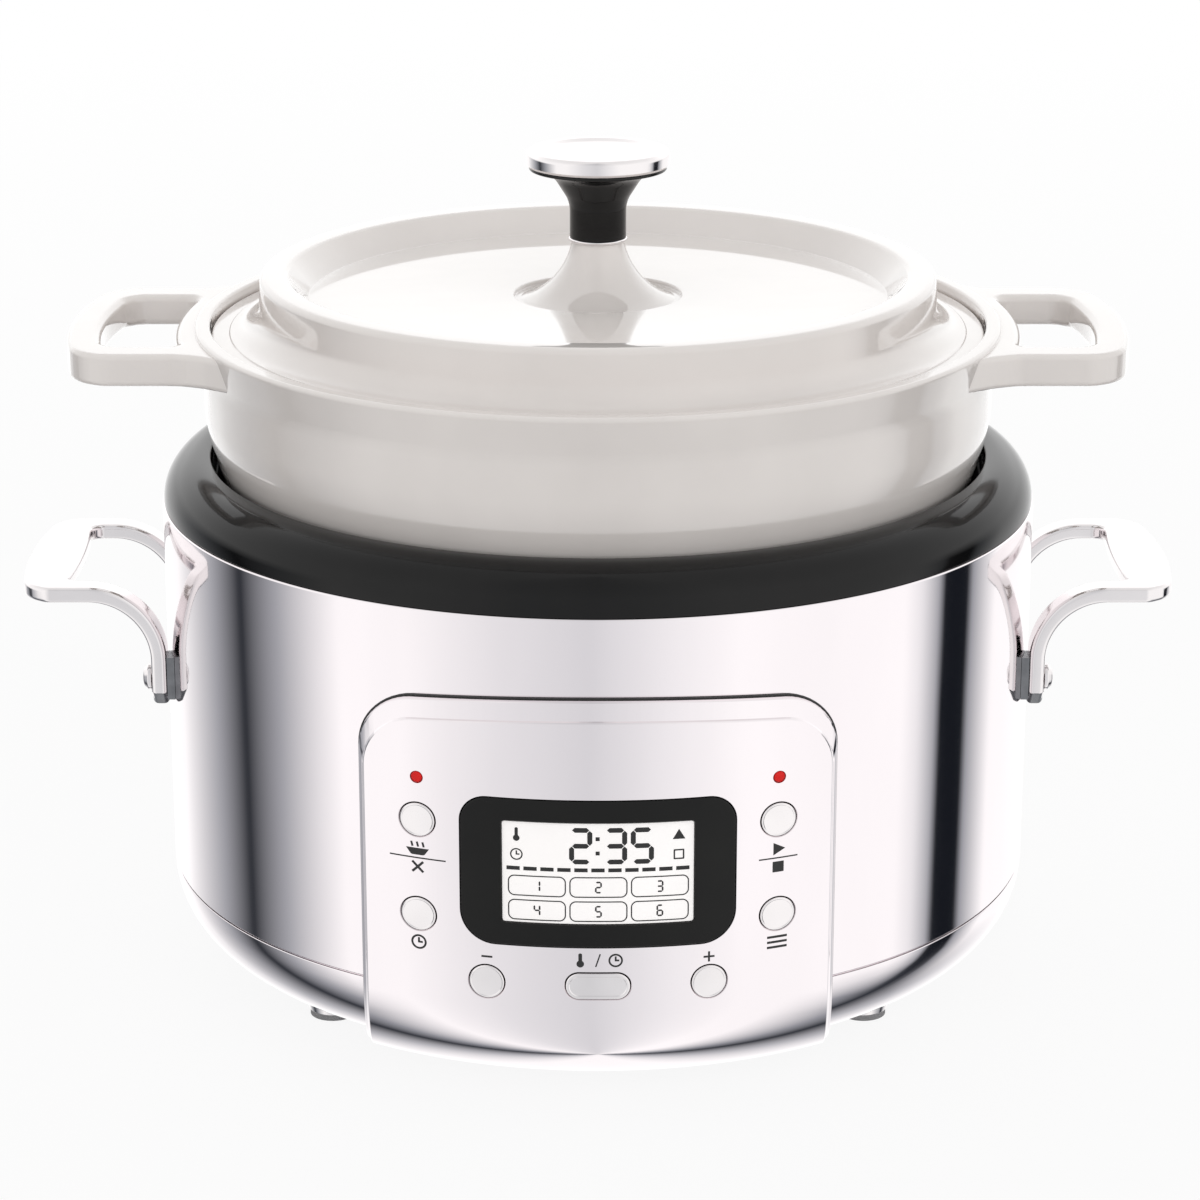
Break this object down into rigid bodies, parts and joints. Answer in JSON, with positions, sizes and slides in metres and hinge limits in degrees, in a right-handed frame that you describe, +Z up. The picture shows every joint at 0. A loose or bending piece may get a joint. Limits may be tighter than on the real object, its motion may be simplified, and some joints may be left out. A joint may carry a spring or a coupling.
{
  "type": "slow cooker",
  "caption": "Round countertop slow cooker with a lift-out enamelled pot, domed lid with pedestal knob, polished steel body, side handles and a front control panel with a display.",
  "frame": {"origin": "on the standing surface, under the centre of the round body", "axes": "+Z up along the body's axis, -Y towards the control panel, +X towards the user's right"},
  "size_m": [0.396, 0.3074, 0.2881],
  "materials": {
    "polished_steel": "mirror polished",
    "satin_steel": "satin",
    "black_gloss_plastic": "gloss",
    "black_matte_plastic": "matte",
    "cream_enamel": "gloss glaze",
    "cast_aluminium": "as cast",
    "sheet_aluminium": "mill",
    "insulation_wool": "matte",
    "zinc_steel": "zinc plated",
    "display_glass": "clear",
    "lcd_glass": "gloss",
    "board_laminate": "satin",
    "red_lens": "translucent",
    "grey_rubber": "matte",
    "brass_pin": "bright",
    "component_case": "matte",
    "copper_iron": "varnished",
    "heater_sheath": "oxidised"
  },
  "bodies": {
    "cooker": {"body_wrap": "polished_steel", "base_pan": "polished_steel", "bottom_cover": "satin_steel", "cover_screws": "zinc_steel", "base_posts": "zinc_steel", "feet": "polished_steel", "foot_pads": "grey_rubber", "top_collar": "black_gloss_plastic", "inner_liner": "sheet_aluminium", "insulation_band": "insulation_wool", "heating_plate": "cast_aluminium", "heating_element": "heater_sheath", "heat_shield": "sheet_aluminium", "plate_posts": "zinc_steel", "thermal_cutout": "component_case", "sensor_housing": "black_matte_plastic", "sensor_spring": "zinc_steel", "control_panel": "polished_steel", "display_frame": "black_gloss_plastic", "display_window": "display_glass", "lcd_module": "lcd_glass", "button_guide": "black_matte_plastic", "control_board": "board_laminate", "tact_switches": "component_case", "board_posts": "black_matte_plastic", "indicator_left": "red_lens", "indicator_right": "red_lens", "side_handle_right": "polished_steel", "side_handle_left": "polished_steel", "handle_spacers": "black_matte_plastic", "handle_screws": "polished_steel", "power_board": "board_laminate", "board_standoffs": "black_matte_plastic", "transformer": "copper_iron", "power_relay": "component_case", "capacitor": "component_case", "power_inlet": "black_matte_plastic", "inlet_pins": "brass_pin"},
    "pot": {"pot": "cream_enamel"},
    "lid": {"lid": "cream_enamel", "knob_ferrule": "polished_steel", "knob_neck": "black_gloss_plastic", "knob_cap": "polished_steel", "knob_screw": "zinc_steel"},
    "button_upper_left_cap": {"button_upper_left": "polished_steel"},
    "button_upper_right_cap": {"button_upper_right": "polished_steel"},
    "button_lower_left_cap": {"button_lower_left": "polished_steel"},
    "button_lower_right_cap": {"button_lower_right": "polished_steel"},
    "button_minus_cap": {"button_minus": "polished_steel"},
    "button_plus_cap": {"button_plus": "polished_steel"},
    "button_long_cap": {"button_long": "polished_steel"},
    "sensor": {"sensor_plunger": "sheet_aluminium"}
  },
  "joints": [
    {"name": "pot_lift", "type": "slide", "parent": "cooker", "child": "pot", "axis": [0, 0, 1], "range_m": [0, 0.16]},
    {"name": "lid_lift", "type": "slide", "parent": "pot", "child": "lid", "axis": [0, 0, 1], "range_m": [0, 0.15]},
    {"name": "press_upper_left", "type": "slide", "parent": "cooker", "child": "button_upper_left_cap", "axis": [0, 1, 0], "range_m": [0, 0.0015], "stiffness_N_per_m": 700, "springref_m": -0.0005},
    {"name": "press_upper_right", "type": "slide", "parent": "cooker", "child": "button_upper_right_cap", "axis": [0, 1, 0], "range_m": [0, 0.0015], "stiffness_N_per_m": 700, "springref_m": -0.0005},
    {"name": "press_lower_left", "type": "slide", "parent": "cooker", "child": "button_lower_left_cap", "axis": [0, 1, 0], "range_m": [0, 0.0015], "stiffness_N_per_m": 700, "springref_m": -0.0005},
    {"name": "press_lower_right", "type": "slide", "parent": "cooker", "child": "button_lower_right_cap", "axis": [0, 1, 0], "range_m": [0, 0.0015], "stiffness_N_per_m": 700, "springref_m": -0.0005},
    {"name": "press_minus", "type": "slide", "parent": "cooker", "child": "button_minus_cap", "axis": [0, 1, 0], "range_m": [0, 0.0015], "stiffness_N_per_m": 700, "springref_m": -0.0005},
    {"name": "press_plus", "type": "slide", "parent": "cooker", "child": "button_plus_cap", "axis": [0, 1, 0], "range_m": [0, 0.0015], "stiffness_N_per_m": 700, "springref_m": -0.0005},
    {"name": "press_long", "type": "slide", "parent": "cooker", "child": "button_long_cap", "axis": [0, 1, 0], "range_m": [0, 0.0015], "stiffness_N_per_m": 700, "springref_m": -0.0005},
    {"name": "sensor_press", "type": "slide", "parent": "cooker", "child": "sensor", "axis": [0, 0, 1], "range_m": [-0.003, 0], "stiffness_N_per_m": 300, "springref_m": 0.003}
  ]
}
